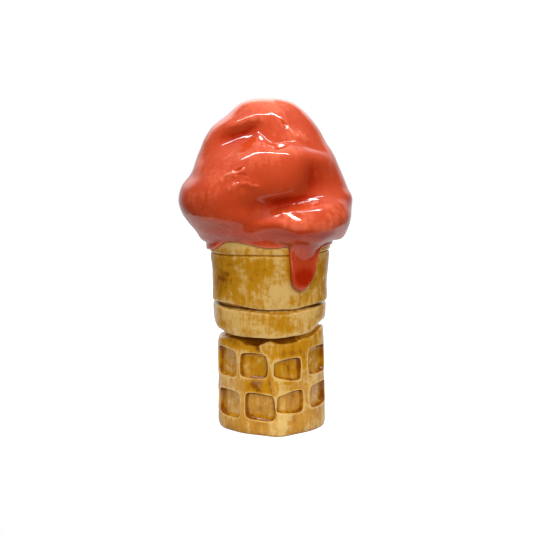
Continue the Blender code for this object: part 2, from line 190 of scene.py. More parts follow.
def read_points(obj):
    points = np.empty(len(obj.data.vertices) * 3)
    obj.data.vertices.foreach_get("co", points)
    return points.reshape(-1, 3)


def write_points(obj, points):
    obj.data.vertices.foreach_set("co", points.ravel())
    obj.data.update()


def read_normals(obj):
    normals = np.empty(len(obj.data.vertices) * 3)
    obj.data.vertex_normals.foreach_get("vector", normals)
    return normals.reshape(-1, 3)


def polar(points):
    """The bearing in degrees, the radius and the height of each point."""
    x, y, z = points.T
    return np.degrees(np.arctan2(x, -y)), np.hypot(x, y), z


def from_polar(degrees, radius, height):
    turn = np.radians(degrees)
    return np.stack([radius * np.sin(turn), -radius * np.cos(turn), height], axis=1)


def add_drum(name, steps, rows):
    """An open cylinder on the axis, a metre high, whose wall is divided into equal rows,
    with the numbers of each vertex's column and row."""
    select_none()
    bpy.ops.mesh.primitive_cylinder_add(
        vertices=steps, radius=1.0, depth=1.0, end_fill_type="NOTHING", location=(0, 0, 0.5)
    )
    drum = bpy.context.active_object
    drum.name = drum.data.name = name
    bpy.ops.object.transform_apply(location=True, rotation=True, scale=True)
    bpy.ops.object.mode_set(mode="EDIT")
    bpy.ops.mesh.select_mode(type="EDGE")
    bpy.ops.mesh.select_all(action="DESELECT")
    bm = bmesh.from_edit_mesh(drum.data)
    for edge in bm.edges:
        low, high = sorted(vert.co.z for vert in edge.verts)
        edge.select = high - low > 0.5
    bmesh.update_edit_mesh(drum.data)
    bpy.ops.mesh.subdivide(number_cuts=rows - 1)
    bpy.ops.object.mode_set(mode="OBJECT")
    degrees, _, height = polar(read_points(drum))
    column = np.rint(degrees / 360.0 * steps).astype(int) % steps
    return drum, column, np.rint(height * rows).astype(int)


def close_ends(drum):
    """Fills the open ends of a drum."""
    make_active(drum)
    bpy.ops.object.mode_set(mode="EDIT")
    bpy.ops.mesh.select_all(action="SELECT")
    bpy.ops.mesh.fill_holes(sides=0)
    bpy.ops.mesh.normals_make_consistent(inside=False)
    bpy.ops.object.mode_set(mode="OBJECT")


def apply_modifier(obj, kind, **values):
    """Adds a modifier with these values and applies it."""
    make_active(obj)
    modifier = obj.modifiers.new(kind.lower(), kind)
    for key, value in values.items():
        setattr(modifier, key, value)
    bpy.ops.object.modifier_apply(modifier=modifier.name)


def push_out(obj, amount):
    """Moves each vertex along its own normal by its own amount."""
    write_points(obj, read_points(obj) + read_normals(obj) * amount[:, None])


class Flat(NamedTuple):
    """A flat that a thumb left in the clay: where its middle is, in degrees and
    millimetres, half its length and half its width, how far its long side turns up, the
    bearing that it faces, and its slope."""

    bearing: float
    height: float
    long: float
    short: float
    turn: float
    faces: float
    slope: float


def flatten(obj, flats):
    """Presses each flat into the piece."""
    for flat in flats:
        points = read_points(obj)
        degrees, radius, height = polar(points)
        across = np.radians(wrapped(degrees - flat.bearing)) * radius / MM
        up = height / MM - flat.height
        turn = math.radians(flat.turn)
        over = across * math.cos(turn) + up * math.sin(turn)
        beside = up * math.cos(turn) - across * math.sin(turn)
        share = np.exp(-(((over / flat.long) ** 2 + (beside / flat.short) ** 2) ** 2))
        share[radius < INSIDE_RADIUS] = 0.0
        middle = (points * share[:, None]).sum(axis=0) / share.sum()
        slope, faces = math.radians(flat.slope), math.radians(flat.faces)
        lean = math.sin(slope)
        normal = np.array((lean * math.sin(faces), -lean * math.cos(faces), math.cos(slope)))
        write_points(obj, points - (share * ((points - middle) @ normal))[:, None] * normal)


def store_values(obj, name, values):
    attribute = obj.data.attributes.new(name, "FLOAT", "POINT")
    attribute.data.foreach_set("value", values.astype(np.float32))


def read_values(obj, name):
    values = np.empty(len(obj.data.vertices))
    obj.data.attributes[name].data.foreach_get("value", values)
    return values


def hollows(obj, rounds):
    """How deep each vertex lies under its surroundings, in millimetres, less than 0 on
    ridges. More rounds look further round it."""
    count = len(obj.data.vertices)
    ends = np.empty(len(obj.data.edges) * 2, dtype=np.int64)
    obj.data.edges.foreach_get("vertices", ends)
    first, second = ends[0::2], ends[1::2]
    links = np.bincount(ends, minlength=count)[:, None].astype(float)
    start = read_points(obj)
    mean = start.copy()
    for _ in range(rounds):
        total = np.zeros_like(mean)
        for axis in range(3):
            total[:, axis] = np.bincount(first, mean[second, axis], count)
            total[:, axis] += np.bincount(second, mean[first, axis], count)
        mean = 0.5 * mean + 0.5 * total / links
    return ((mean - start) * read_normals(obj)).sum(axis=1) / MM


# How flat a dab of glaze is in its middle: 1 is a soft hill, more has a firm edge.
DAB_FULLNESS = 1.4
# How much nearer a crease looks for its surroundings than a hollow does.
CREASE_NEARNESS = 8


class Coat(NamedTuple):
    """How a piece is glazed: how many rounds its hollows look round them, how thickly
    the glaze lies everywhere, and its dabs. A dab is a bearing, a height, half a width
    and half a height in millimetres, and an amount, less than 0 where it is thin. Some
    dabs also paint shade or light; each coat says which."""

    rounds: int
    everywhere: float
    dabs: tuple


def brushed_and_painted_light(obj, coat):
    """How thickly the glaze was brushed on at each vertex, with the dabs that paint shade or light."""
    degrees, radius, height = polar(read_points(obj))
    thickness = np.full_like(radius, coat.everywhere)
    for bearing, level, wide, tall, amount in coat.dabs:
        across = np.radians(wrapped(degrees - bearing)) * radius / MM
        away = (across / wide) ** 2 + (height / MM - level) ** 2 / tall**2
        thickness += amount * np.exp(-(away**DAB_FULLNESS))
    if "pressed" in obj.data.attributes:
        thickness += along(POCKET_COAT_AND_SHADE, read_values(obj, "pressed"))
    return thickness


def finish_piece(obj, material, coat, replaced):
    """Gives a piece its glaze and its hollows, and puts it in its CAD node's place."""
    make_active(obj)
    bpy.ops.object.shade_smooth_by_angle(angle=SMOOTH_ANGLE)
    select_none()
    store_values(obj, "brushed", brushed_and_painted_light(obj, coat))
    store_values(obj, "hollow", hollows(obj, coat.rounds))
    store_values(obj, "crease", hollows(obj, coat.rounds // CREASE_NEARNESS))
    obj.data.materials.clear()
    obj.data.materials.append(material)
    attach(obj, "root")
    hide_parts(replaced)


# The glazes.

GLAZE_IOR = 1.5
GLAZE_ROUGHNESS = (0.045, 0.1)
WAVE_STRENGTH = 0.25
WAVE_DISTANCE = 1.0 * MM
# The layers of a glaze's unevenness: lumps a metre, and how far each thins or thickens it.
SPECK_SIZE = 700.0
STROKE_SIZE = 520.0
STROKE_STRETCH = (1.0, 1.0, 0.18)
SWELL_SIZE = 110.0
PATCH_SWING, SPECK_SWING, STROKE_SWING = 0.8, 0.4, 0.5
# How shallow a rim or a crease shows, as a share of what a broad ridge or hollow takes. A crease's
# darker colour is partly painted shade.
RIM_SHARE = 0.16
CREASE_SHADE_SHARE = 0.18
# How much of the unevenness shows in the pools.
POOL_UNEVENNESS = 0.55
# Where the thin and the pooled colour start and are full; the pooled colour is partly painted shade.
THIN_RANGE = (-0.5, 1.2)
POOLED_AND_SHADE_RANGE = (0.35, 1.6)

GLAZES = {
    "honey": {
        "Mottle": 1.15, "Mottle Size": 100.0, "Thin Depth": 0.25, "Pool Depth": 0.42,
        "Wave Height": 0.1,
    },
    "coral": {
        "Mottle": 0.5, "Mottle Size": 90.0, "Thin Depth": 1.3, "Pool Depth": 1.5,
        "Wave Height": 0.1,
    },
}
GROUP_SOCKETS = {
    "INPUT": {
        "Even": "Color", "Thin": "Color", "Pooled": "Color", "Mottle": "Float",
        "Mottle Size": "Float", "Thin Depth": "Float", "Pool Depth": "Float",
        "Wave Height": "Float",
    },
    "OUTPUT": {"Color": "Color", "Roughness": "Float", "Height": "Float"},
}


class Nodes:
    """A short way to add and join the nodes of one tree."""

    def __init__(self, tree):
        self.tree = tree

    def add(self, kind, **values):
        node = self.tree.nodes.new("ShaderNode" + kind if not kind.startswith("Node") else kind)
        for key, value in values.items():
            setattr(node, key, value)
        return node

    def join(self, output, target):
        self.tree.links.new(output, target)

    def feed(self, socket, value):
        """Links an output to the socket, or sets a plain value on it."""
        if isinstance(value, bpy.types.NodeSocket):
            self.join(value, socket)
        else:
            socket.default_value = value

    def math(self, operation, first, second):
        node = self.add("Math", operation=operation)
        self.feed(node.inputs[0], first)
        self.feed(node.inputs[1], second)
        return node.outputs[0]

    def fit(self, value, low, high, to_low=0.0, to_high=1.0):
        """Maps low..high of a value to to_low..to_high with an easy slope."""
        node = self.add("MapRange", interpolation_type="SMOOTHSTEP")
        for socket, item in zip(node.inputs, (value, low, high, to_low, to_high)):
            self.feed(socket, item)
        return node.outputs[0]

    def mix(self, share, first, second):
        node = self.add("Mix", data_type="RGBA")
        self.feed(node.inputs[0], share)
        self.feed(node.inputs[6], first)
        self.feed(node.inputs[7], second)
        return node.outputs[2]

    def noise(self, scale, detail, roughness, stretch=(1, 1, 1), distortion=0.0):
        """Noise on the object's own coordinates. The scale is in lumps a metre."""
        mapping = self.add("Mapping")
        mapping.inputs["Scale"].default_value = stretch
        self.join(self.add("TexCoord").outputs["Object"], mapping.inputs["Vector"])
        node = self.add("TexNoise")
        self.join(mapping.outputs[0], node.inputs["Vector"])
        self.feed(node.inputs["Scale"], scale)
        node.inputs["Detail"].default_value = detail
        node.inputs["Roughness"].default_value = roughness
        node.inputs["Distortion"].default_value = distortion
        return node.outputs["Fac"]


def pooled_glaze_and_shade_group():
    """How a fired glaze takes its colour: thin over edges, deep in hollows, brushed
    unevenly between them. Its darker colour deep in hollows and creases is partly
    glaze that pools and partly painted shade."""
    group = bpy.data.node_groups.new("Pooled Glaze And Painted Shade", "ShaderNodeTree")
    for side, sockets in GROUP_SOCKETS.items():
        for label, kind in sockets.items():
            group.interface.new_socket(label, in_out=side, socket_type="NodeSocket" + kind)
    n = Nodes(group)
    given = n.add("NodeGroupInput").outputs
    out = n.add("NodeGroupOutput").inputs
    hollow, crease, brushed = (
        n.add("Attribute", attribute_name=name).outputs["Fac"]
        for name in ("hollow", "crease", "brushed")
    )
    thin_depth, pool_depth = given["Thin Depth"], given["Pool Depth"]
    patches = n.noise(given["Mottle Size"], 5.0, 0.6, distortion=0.4)
    specks = n.noise(SPECK_SIZE, 4.0, 0.6)
    strokes = n.noise(STROKE_SIZE, 4.0, 0.6, stretch=STROKE_STRETCH)
    wash = n.math(
        "ADD",
        n.fit(patches, 0.25, 0.75, -PATCH_SWING, PATCH_SWING),
        n.fit(specks, 0.25, 0.75, -SPECK_SWING, SPECK_SWING),
    )
    wash = n.math("ADD", wash, n.fit(strokes, 0.3, 0.7, -STROKE_SWING, STROKE_SWING))
    uneven = n.math("SUBTRACT", n.math("MULTIPLY", wash, given["Mottle"]), brushed)

    ridge = n.math("DIVIDE", n.math("MULTIPLY", hollow, -1.0), thin_depth)
    rim_depth = n.math("MULTIPLY", thin_depth, RIM_SHARE)
    rim = n.math("DIVIDE", n.math("MULTIPLY", crease, -1.0), rim_depth)
    thin = n.fit(n.math("ADD", n.math("MAXIMUM", ridge, rim), uneven), *THIN_RANGE)

    pool = n.math("DIVIDE", hollow, pool_depth)
    # Darker in creases: partly pooled glaze, partly painted shade.
    crease_pool_and_shade = n.math("DIVIDE", crease, n.math("MULTIPLY", pool_depth, CREASE_SHADE_SHARE))
    less = n.math("MULTIPLY", uneven, POOL_UNEVENNESS)
    pooled = n.math("SUBTRACT", n.math("MAXIMUM", pool, crease_pool_and_shade), less)
    pooled = n.fit(pooled, *POOLED_AND_SHADE_RANGE)

    n.join(n.mix(pooled, n.mix(thin, given["Even"], given["Thin"]), given["Pooled"]), out["Color"])
    n.join(n.fit(specks, 0.35, 0.75, *GLAZE_ROUGHNESS), out["Roughness"])
    swell = n.noise(SWELL_SIZE, 1.0, 0.4)
    n.join(n.math("MULTIPLY", swell, given["Wave Height"]), out["Height"])
    return group


def fired_glaze(kind):
    """The material of a glossy glaze over clay, made when it is first asked for."""
    name = f"{kind}_glaze_fired"
    if name in bpy.data.materials:
        return bpy.data.materials[name]
    material = bpy.data.materials.new(name)
    material.use_nodes = True
    n = Nodes(material.node_tree)
    shader = material.node_tree.nodes["Principled BSDF"]
    group = bpy.data.node_groups.get("Pooled Glaze And Painted Shade") or pooled_glaze_and_shade_group()
    glaze = n.add("Group", node_tree=group)
    colours = bpy.context.scene.glaze_colours
    for socket, shade in (("Even", kind), ("Thin", kind + "_thin"), ("Pooled", kind + "_pooled")):
        glaze.inputs[socket].default_value = (*getattr(colours, shade), 1.0)
    for socket, value in GLAZES[kind].items():
        glaze.inputs[socket].default_value = value
    n.join(glaze.outputs["Color"], shader.inputs["Base Color"])
    n.join(glaze.outputs["Roughness"], shader.inputs["Roughness"])
    shader.inputs["IOR"].default_value = GLAZE_IOR
    bump = n.add("Bump")
    bump.inputs["Strength"].default_value = WAVE_STRENGTH
    bump.inputs["Distance"].default_value = WAVE_DISTANCE
    n.join(glaze.outputs["Height"], bump.inputs["Height"])
    n.join(bump.outputs["Normal"], shader.inputs["Normal"])
    return material


# The waffle base.

POCKET_COLUMNS = 9
# Where a pocket's cage has its lines, from its middle to its edges, and how far its
# corners are rounded in.
POCKET_GRID = (-1.0, -0.5, 0.5, 1.0)
POCKET_CORNER = 0.09
# Each step of pressing a pocket in: how far inwards and how far down, in millimetres.
POCKET_PRESSES = ((0.4, 0.15), (0.2, -0.5), (0.2, -1.7), (0.9, -0.3))
# How thick the glaze lies after so many of these steps: thin on the rim, thick inside, where the
# darker colour is partly painted shade.
POCKET_COAT_AND_SHADE = (
    (0, 0), (0.35, -0.7), (0.7, -1.8), (1.15, -1.7), (1.6, 0.6), (2.2, 1.3), (3.1, 1.2),
    (3.7, 0.5), (4, 0.1),
)
# How much the pockets that aren't in front vary: the width as a share of their pitch.
POCKET_RANGES = {
    "bearing": (-1.0, 1.0), "height": (-0.5, 0.5), "wide": (0.74, 0.8), "tall": (9.6, 11.2),
    "lift": (-0.6, 0.8), "flare": (-0.5, 1.2),
}
POCKET_SEED = 11
# How far the subdivision draws in a wall of the cage.
CAGE_SPARE = 0.35 * MM
# The rings of the cage at the foot: the sole, then the share of the rounding's height
# and how far in from the wall, and a last one that lies above the rounding.
SOLE_INSET = 5.0 * MM
FOOT_RINGS = ((0.0, 2.0), (0.35, 0.8), (1.0, 0.15))
HEEL_SPARE = 2.2 * MM
HEEL_LEVELS = len(FOOT_RINGS) + 2
# The rings at the shoulder: how far under it and how far in from the wall, and then how
# the neck starts.
SHOULDER_RINGS = ((1.6, 0.0), (0.35, 0.25), (0.0, 0.9))
NECK_FLARE, NECK_DROP = 0.1 * MM, 0.3 * MM
BASE_LUMPS = ((6.0 * MM, 1.0), (2.6 * MM, 0.4))
# The heights between which the worked clay, the lap and its end fade in or out.
CLAY_START = (0.2, 2.0)
LAP_START = (2.0, 5.0)
LAP_END = (44.0, 41.5)
# The share of the radius from which the wall leans.
LEAN_START = (0.6, 0.9)


class Pocket(NamedTuple):
    """A pressed pocket of the waffle. It is wide in degrees and tall in millimetres,
    its right side is higher than its left by the lift, and taller by the flare."""

    bearing: float
    height: float
    wide: float
    tall: float
    lift: float = 0.0
    flare: float = 0.0


# The pockets that face the front. The rest follow them by rule.
FRONT_POCKETS = {
    "low": (
        Pocket(-52, 12.9, 40, 12.8, -0.6),
        Pocket(-11, 12.9, 36, 12.8, -0.9),
        Pocket(22, 14.8, 34, 10.4, 0.8, 2.8),
        Pocket(64, 16.2, 39, 11.4, 0.6),
    ),
    "high": (
        Pocket(-56, 30.8, 38, 13.4, -0.4, -1.0),
        Pocket(-18, 30.7, 35, 11.8, 0.2),
        Pocket(19, 29.2, 34, 10.2, -0.2, 4.0),
        Pocket(62, 31.6, 39, 13.2, 0.0),
    ),
}

# How far the base stands out from a true drum, in millimetres: its nose in front, where
# the slab's ends meet, and a swell at its right, each with its bearing and spread and how
# far it stands out at the foot and at the shoulder, and the slow waves round the base.
BASE_NOSES = ((11, 15, 2.5, 0.2), (78, 34, 0.9, 0.0))
BASE_WAVES = ((0.65 * MM, 1, -90), (0.2 * MM, 3, 200), (0.15 * MM, 5, 10))
# The rounding at the foot: its least height, and where it is higher.
HEEL_HEIGHT = 1.4
HEEL_SWELLS = ((-40, 26, 1.2), (52, 18, 1.6), (160, 50, 0.8))
# The half pockets that bite the shoulder under the collar: bearing, spread and depth.
SHOULDER_BITES = (
    (-82, 16, 1.9), (-18, 12, 4.4), (18, 10, 3), (133, 10, 1.6), (170, 10, 2.2), (-152, 10, 1.8),
    (-116, 10, 2),
)
# Where the half pockets go on into the neck: bearing, spread and share of the radius.
NECK_CAVES = ((-18, 11, 0.38), (17, 9, 0.22), (-52, 5, 0.2))
NECK_RADIUS = 20.6 * MM
NECK_TOP = 44.2 * MM
# The base is higher at its right: how much at the shoulder and at the neck's top.
SHOULDER_RISE = (84, 26, 3.7)
NECK_RISE = (84, 26, 1.9)
# The overlap of the slab's two ends in front: height and bearing, how far one end stands
# out over the other, half the width of that step, and where the step fades beside it.
LAP_SEAM = ((0, 9), (11.9, 7), (19.8, 3), (25.8, 1), (32.7, -2), (37.9, -10), (44, -14))
LAP_STEP = 0.45 * MM
LAP_EDGE = 0.7
LAP_FADE = (9.0, 2.0)

# The dabs 36 to 44 mm high darken the top of the base under the collar's hem: partly pooled glaze,
# partly painted shade.
BASE_COAT = Coat(
    rounds=40,
    everywhere=0.45,
    dabs=(
        (-20, 22, 6, 3, 0.7), (20, 22.5, 6, 4, 0.3), (-50, 22, 4, 5, -0.5), (0, 42, 14, 2.4, 0.8),
        (-48, 40, 6, 2.5, 0.9), (-20, 38.6, 8, 1.4, 0.9), (24, 36.6, 6, 1.6, 0.8),
        (30, 5, 7, 3, 1), (-40, 3, 6, 2.4, 0.8), (2, 30, 3, 7, -0.5), (8, 6, 5, 4, -0.3),
        (-19, 42.8, 6, 2, 3), (15, 42.6, 6, 1.6, 2.4), (-52, 43.4, 3, 1.6, 3), (40, 4, 8, 6, -0.5),
        (-10, 3, 9, 3, -0.5), (60, 24, 5, 4, -0.5), (70, 43, 5, 2, 0.9),
    ),
)


def base_lean(degrees, height):
    """How far the wall of the rolled slab stands out from a true drum."""
    share = height / bpy.context.scene.clay_sizes.base_shoulder
    out = sum(
        dip(degrees, middle, spread) * (foot + (shoulder - foot) * share)
        for middle, spread, foot, shoulder in BASE_NOSES
    )
    return out * MM + wave(degrees, BASE_WAVES)


def shoulder_height(degrees):
    rise = dips(degrees, [SHOULDER_RISE]) - dips(degrees, SHOULDER_BITES)
    return bpy.context.scene.clay_sizes.base_shoulder + rise * MM


def neck_top(degrees):
    """The top of the base, under the collar."""
    return NECK_TOP + dips(degrees, [NECK_RISE]) * MM


def heel_height(degrees):
    return (HEEL_HEIGHT + dips(degrees, HEEL_SWELLS)) * MM


def pocket_rows():
    """Every pocket of the base, row by row: the ones in front, then the rest by rule."""
    rng = random.Random(POCKET_SEED)
    rows = []
    for front in FRONT_POCKETS.values():
        row = list(front)
        missing = POCKET_COLUMNS - len(front)
        start = front[-1].bearing + front[-1].wide / 2
        pitch = (360 + front[0].bearing - front[0].wide / 2 - start) / missing
        height = sum(pocket.height for pocket in front) / len(front)
        for n in range(missing):
            values = {key: rng.uniform(*ends) for key, ends in POCKET_RANGES.items()}
            values["bearing"] += start + pitch * (n + 0.5)
            values["height"] += height
            values["wide"] *= pitch
            row.append(Pocket(**values))
        rows.append(row)
    return rows


def pocket_point(pocket, side, end):
    """A point of a pocket's grid: side runs from -1 at its left edge to 1 at its right,
    and end from -1 at its lower edge to 1 at its upper. The corners are rounded in."""
    if abs(side) == 1 and abs(end) == 1:
        side *= 1 - POCKET_CORNER
        end *= 1 - POCKET_CORNER
    up = end * (pocket.tall + side * pocket.flare / 2) + side * pocket.lift
    return pocket.bearing + side * pocket.wide / 2, (pocket.height + up / 2) * MM


def base_levels():
    """The rings of the base's cage from the foot up: their bearings, radii and heights."""
    sizes = bpy.context.scene.clay_sizes
    grid = []
    for row in pocket_rows():
        for end in POCKET_GRID:
            level = [pocket_point(pocket, side, end) for pocket in row for side in POCKET_GRID]
            grid.append(tuple(np.array(values) for values in zip(*level)))
    low, high = grid[0][0], grid[-1][0]
    heel, shoulder = heel_height(low), shoulder_height(high)
    neck = NECK_RADIUS * (1.0 - dips(high, NECK_CAVES))

    def wall(degrees, height, inwards=0.0):
        return degrees, np.full_like(degrees, sizes.base_radius + CAGE_SPARE - inwards), height

    sole = np.full_like(low, sizes.base_radius - SOLE_INSET)
    return [
        (low, sole, np.zeros_like(low)),
        *(wall(low, heel * share, inwards * MM) for share, inwards in FOOT_RINGS),
        wall(low, heel + HEEL_SPARE),
        *(wall(degrees, height) for degrees, height in grid),
        *(wall(high, shoulder - under * MM, inwards * MM) for under, inwards in SHOULDER_RINGS),
        (high, neck + NECK_FLARE, shoulder - NECK_DROP),
        (high, neck, neck_top(high)),
    ]


class CONE_OT_waffle_base(bpy.types.Operator):
    """Models the waffle base: a drum of clay with rows of pockets pressed into it"""

    bl_idname = "ceramic_cone.waffle_base"
    bl_label = "Waffle Base"

    def execute(self, context):
        levels = base_levels()
        steps, rows = POCKET_COLUMNS * len(POCKET_GRID), len(levels) - 1
        drum, column, row = add_drum("waffle_base_clay", steps, rows)
        across = (column + int(np.argmin(np.abs(levels[0][0])))) % steps
        rings = np.array([from_polar(*level) for level in levels])
        write_points(drum, rings[row, across])
        self.press_pockets(drum, across, row)
        apply_modifier(drum, "SUBSURF", levels=3, render_levels=3)
        close_ends(drum)
        self.work_clay(drum)
        finish_piece(drum, fired_glaze("honey"), BASE_COAT, "waffle_base")
        return {"FINISHED"}

    def press_pockets(self, drum, across, row):
        """Selects the faces inside every pocket and presses them in, step by step."""
        lines = len(POCKET_GRID)
        make_active(drum)
        bpy.ops.object.mode_set(mode="EDIT")
        bpy.ops.mesh.select_mode(type="FACE")
        bpy.ops.mesh.select_all(action="DESELECT")
        bm = bmesh.from_edit_mesh(drum.data)
        for face in bm.faces:
            if len(face.verts) != 4:
                continue
            turns = [across[v.index] for v in face.verts]
            ups = [row[v.index] - HEEL_LEVELS for v in face.verts]
            in_rows = 0 <= min(ups) and max(ups) < len(FRONT_POCKETS) * lines
            in_one_row = min(ups) // lines == max(ups) // lines
            in_one_column = min(turns) // lines == max(turns) // lines
            closed = max(turns) - min(turns) < lines - 1
            face.select = in_rows and in_one_row and in_one_column and closed
        bmesh.update_edit_mesh(drum.data)
        bm.verts.layers.float.new("pressed")
        for number, (inwards, down) in enumerate(POCKET_PRESSES, 1):
            bpy.ops.mesh.inset(
                thickness=inwards * MM, depth=down * MM, use_even_offset=True, use_boundary=True
            )
            bm = bmesh.from_edit_mesh(drum.data)
            pressed = bm.verts.layers.float["pressed"]
            for face in bm.faces:
                if face.select:
                    for vert in face.verts:
                        vert[pressed] = number
            bmesh.update_edit_mesh(drum.data)
        bpy.ops.object.mode_set(mode="OBJECT")

    def work_clay(self, drum):
        """The lap of the slab's ends, and the unevenness of hand-pressed clay."""
        points = read_points(drum)
        degrees, radius, height = polar(points)
        seam = along(LAP_SEAM, height / MM)
        beside = np.radians(wrapped(degrees - seam)) * radius / MM
        lap = smooth_step(-LAP_EDGE, LAP_EDGE, beside) * smooth_step(*LAP_FADE, beside)
        lap *= smooth_step(*LAP_START, height / MM) * smooth_step(*LAP_END, height / MM)
        sizes = bpy.context.scene.clay_sizes
        uneven = lumps(points, BASE_LUMPS, CLAY_SEEDS["base"])
        uneven *= smooth_step(*CLAY_START, height / MM)
        push_out(drum, LAP_STEP * lap + sizes.clay_grain * uneven)
        degrees, radius, height = polar(read_points(drum))
        outside = smooth_step(*LEAN_START, radius / sizes.base_radius)
        radius = radius + base_lean(degrees, height) * outside
        write_points(drum, from_polar(degrees, radius, height))


# The collar and the cup.

# The lower edge of the collar.
COLLAR_HEM = (
    (-180, 45), (-120, 46), (-87, 46.6), (-75, 45.3), (-58, 44.6), (-42, 43.4), (-12, 42.9),
    (6, 42.8), (21, 43.2), (39, 43.8), (48, 44.6), (65, 47.4), (90, 47.8), (130, 46.4), (180, 45),
)
COLLAR_WAVES = ((0.2 * MM, 3, 20), (0.15 * MM, 7, 0))
SEAM_HEIGHT = 55.0 * MM
# The open crease between the collar and the cup dips towards the front, and it opens
# widest at the front left, and again at the front.
CREASE_LEVEL = 0.9
CREASE_DIP = (8, 36, -1.8)
CREASE_WAVES = ((0.15 * MM, 5, 30),)
CREASE_WIDTH = 1.1
CREASE_GAPS = ((-44, 19, 1.3), (10, 15, 0.7), (46, 18, 0.5))
GROOVE_HEIGHT = 77.9 * MM
GROOVE_WAVES = ((0.35 * MM, 1, -80), (0.2 * MM, 4, 50))
CUP_TOP = 86.0 * MM
CUP_SWELL = (90, 40, 0.5)
CUP_WAVES = ((0.18 * MM, 2, 70), (0.14 * MM, 5, 20))
RING_STEPS = 120
RING_LUMPS = ((7.0 * MM, 1.0), (2.4 * MM, 0.35))

COLLAR_COAT = Coat(
    rounds=24,
    everywhere=-0.25,
    dabs=((-14, 45.5, 5, 2, 0.7), (10, 49, 3, 3, 0.3), (60, 50, 5, 3, 0.2)),
)
# The thin dab on the lip at -10 degrees lightens it where the scoop's skirt shades it: painted light.
CUP_COAT = Coat(
    rounds=24,
    everywhere=0.15,
    dabs=(
        (-50, 68, 8, 9, 1), (-10, 72.5, 13, 3, 0.7), (12, 66, 9, 6, -0.7), (58, 58, 4, 5, 0.8),
        (5, 62, 10, 7, -0.5), (-28, 66, 5, 7, -0.3), (-10, 82.5, 20, 2.6, -1.2),
        (70, 70, 5, 8, 0.3),
    ),
)


def crease_height(degrees):
    level = CREASE_LEVEL + dips(degrees, [CREASE_DIP])
    return SEAM_HEIGHT + level * MM + wave(degrees, CREASE_WAVES)


def crease_gap(degrees):
    return (CREASE_WIDTH + dips(degrees, CREASE_GAPS)) * MM


def turned_piece(name, rings, lines):
    """A drum whose rows are these rings. Each ring names the line that gives its radius
    and the line that gives its height, and how many millimetres it lies out from the
    first and up from the second."""
    drum, _, row = add_drum(name, RING_STEPS, len(rings) - 1)
    degrees, _, _ = polar(read_points(drum))
    at = {key: np.broadcast_to(line, degrees.shape) for key, line in lines(degrees).items()}
    radii = np.array([at[radius] + out * MM for radius, _, out, _ in rings])
    heights = np.array([at[height] + up * MM for _, height, _, up in rings])
    each = np.arange(len(degrees))
    write_points(drum, from_polar(degrees, radii[row, each], heights[row, each]))
    apply_modifier(drum, "SUBSURF", levels=2, render_levels=2)
    close_ends(drum)
    return drum


def roughen(obj, seed):
    """The small unevenness that hands and tools leave in soft clay."""
    grain = bpy.context.scene.clay_sizes.clay_grain
    push_out(obj, grain * lumps(read_points(obj), RING_LUMPS, seed))


COLLAR_RINGS = (
    ("neck", "neck_top", -1.0, 0.3), ("neck", "neck_top", 0.7, 0.5), ("wall", "hem", -1.6, 0.6),
    ("wall", "hem", -1.0, 0.0), ("wall", "hem", -0.5, 0.3), ("wall", "hem", -0.2, 1.6),
    ("wall", "middle", 0.0, 1.0), ("wall", "top", 0.0, -1.2), ("wall", "top", -0.15, -0.3),
    ("wall", "top", -0.8, 0.0), ("neck", "seam", 1.6, -0.2), ("neck", "seam", 0.6, -0.1),
)


def collar_lines(degrees):
    """The lines that the collar's rings follow."""
    radius = bpy.context.scene.clay_sizes.collar_radius
    hem = along(COLLAR_HEM, wrapped(degrees)) * MM
    top = crease_height(degrees) - crease_gap(degrees) / 2
    return {
        "neck": NECK_RADIUS,
        "wall": radius + wave(degrees, COLLAR_WAVES),
        "neck_top": neck_top(degrees),
        "hem": hem,
        "middle": (hem + top) / 2,
        "top": top,
        "seam": SEAM_HEIGHT,
    }


class CONE_OT_collar_band(bpy.types.Operator):
    """Models the plain band of clay over the waffle base"""

    bl_idname = "ceramic_cone.collar_band"
    bl_label = "Collar Band"

    def execute(self, context):
        band = turned_piece("collar_band_clay", COLLAR_RINGS, collar_lines)
        roughen(band, CLAY_SEEDS["collar"])
        finish_piece(band, fired_glaze("honey"), COLLAR_COAT, "collar_band")
        return {"FINISHED"}


CUP_RINGS = (
    ("neck", "seam", 0.6, 0.1), ("neck", "seam", 1.6, 0.2), ("wall", "hem", -1.0, 0.0),
    ("wall", "hem", -0.2, 0.2), ("wall", "hem", 0.1, 1.2), ("wall", "seam", -0.1, 7.0),
    ("wall", "seam", 0.1, 14.0), ("wall", "seam", 0.6, 18.5), ("wall", "groove", 0.85, -1.0),
    ("wall", "groove", 0.7, -0.3), ("wall", "groove", -0.4, 0.05), ("lip", "groove", -0.4, 0.4),
    ("lip", "groove", 0.1, 1.2), ("lip", "groove", -0.25, 3.2), ("lip", "top", -0.7, -0.8),
    ("lip", "top", -1.8, 0.0),
)


def cup_lines(degrees):
    """The lines that the cup's rings follow."""
    sizes = bpy.context.scene.clay_sizes
    bulge = dips(degrees, [CUP_SWELL]) * MM + wave(degrees, CUP_WAVES)
    return {
        "neck": NECK_RADIUS,
        "wall": sizes.cup_radius + bulge,
        "lip": sizes.lip_radius + bulge,
        "seam": SEAM_HEIGHT,
        "hem": crease_height(degrees) + crease_gap(degrees) / 2,
        "groove": GROOVE_HEIGHT + wave(degrees, GROOVE_WAVES),
        "top": CUP_TOP,
    }


class CONE_OT_cup(bpy.types.Operator):
    """Models the cup with its groove and rolled lip"""

    bl_idname = "ceramic_cone.cup"
    bl_label = "Cup"

    def execute(self, context):
        cup = turned_piece("cup_clay", CUP_RINGS, cup_lines)
        roughen(cup, CLAY_SEEDS["cup"])
        finish_piece(cup, fired_glaze("honey"), CUP_COAT, "cup")
        return {"FINISHED"}


# The scoop.

# The bearings of the points that give a fold its shape.
FOLD_BEARINGS = (-90, -65, -45, -28, -12, 4, 20, 38, 56, 75, 100, 135, 180, -135)
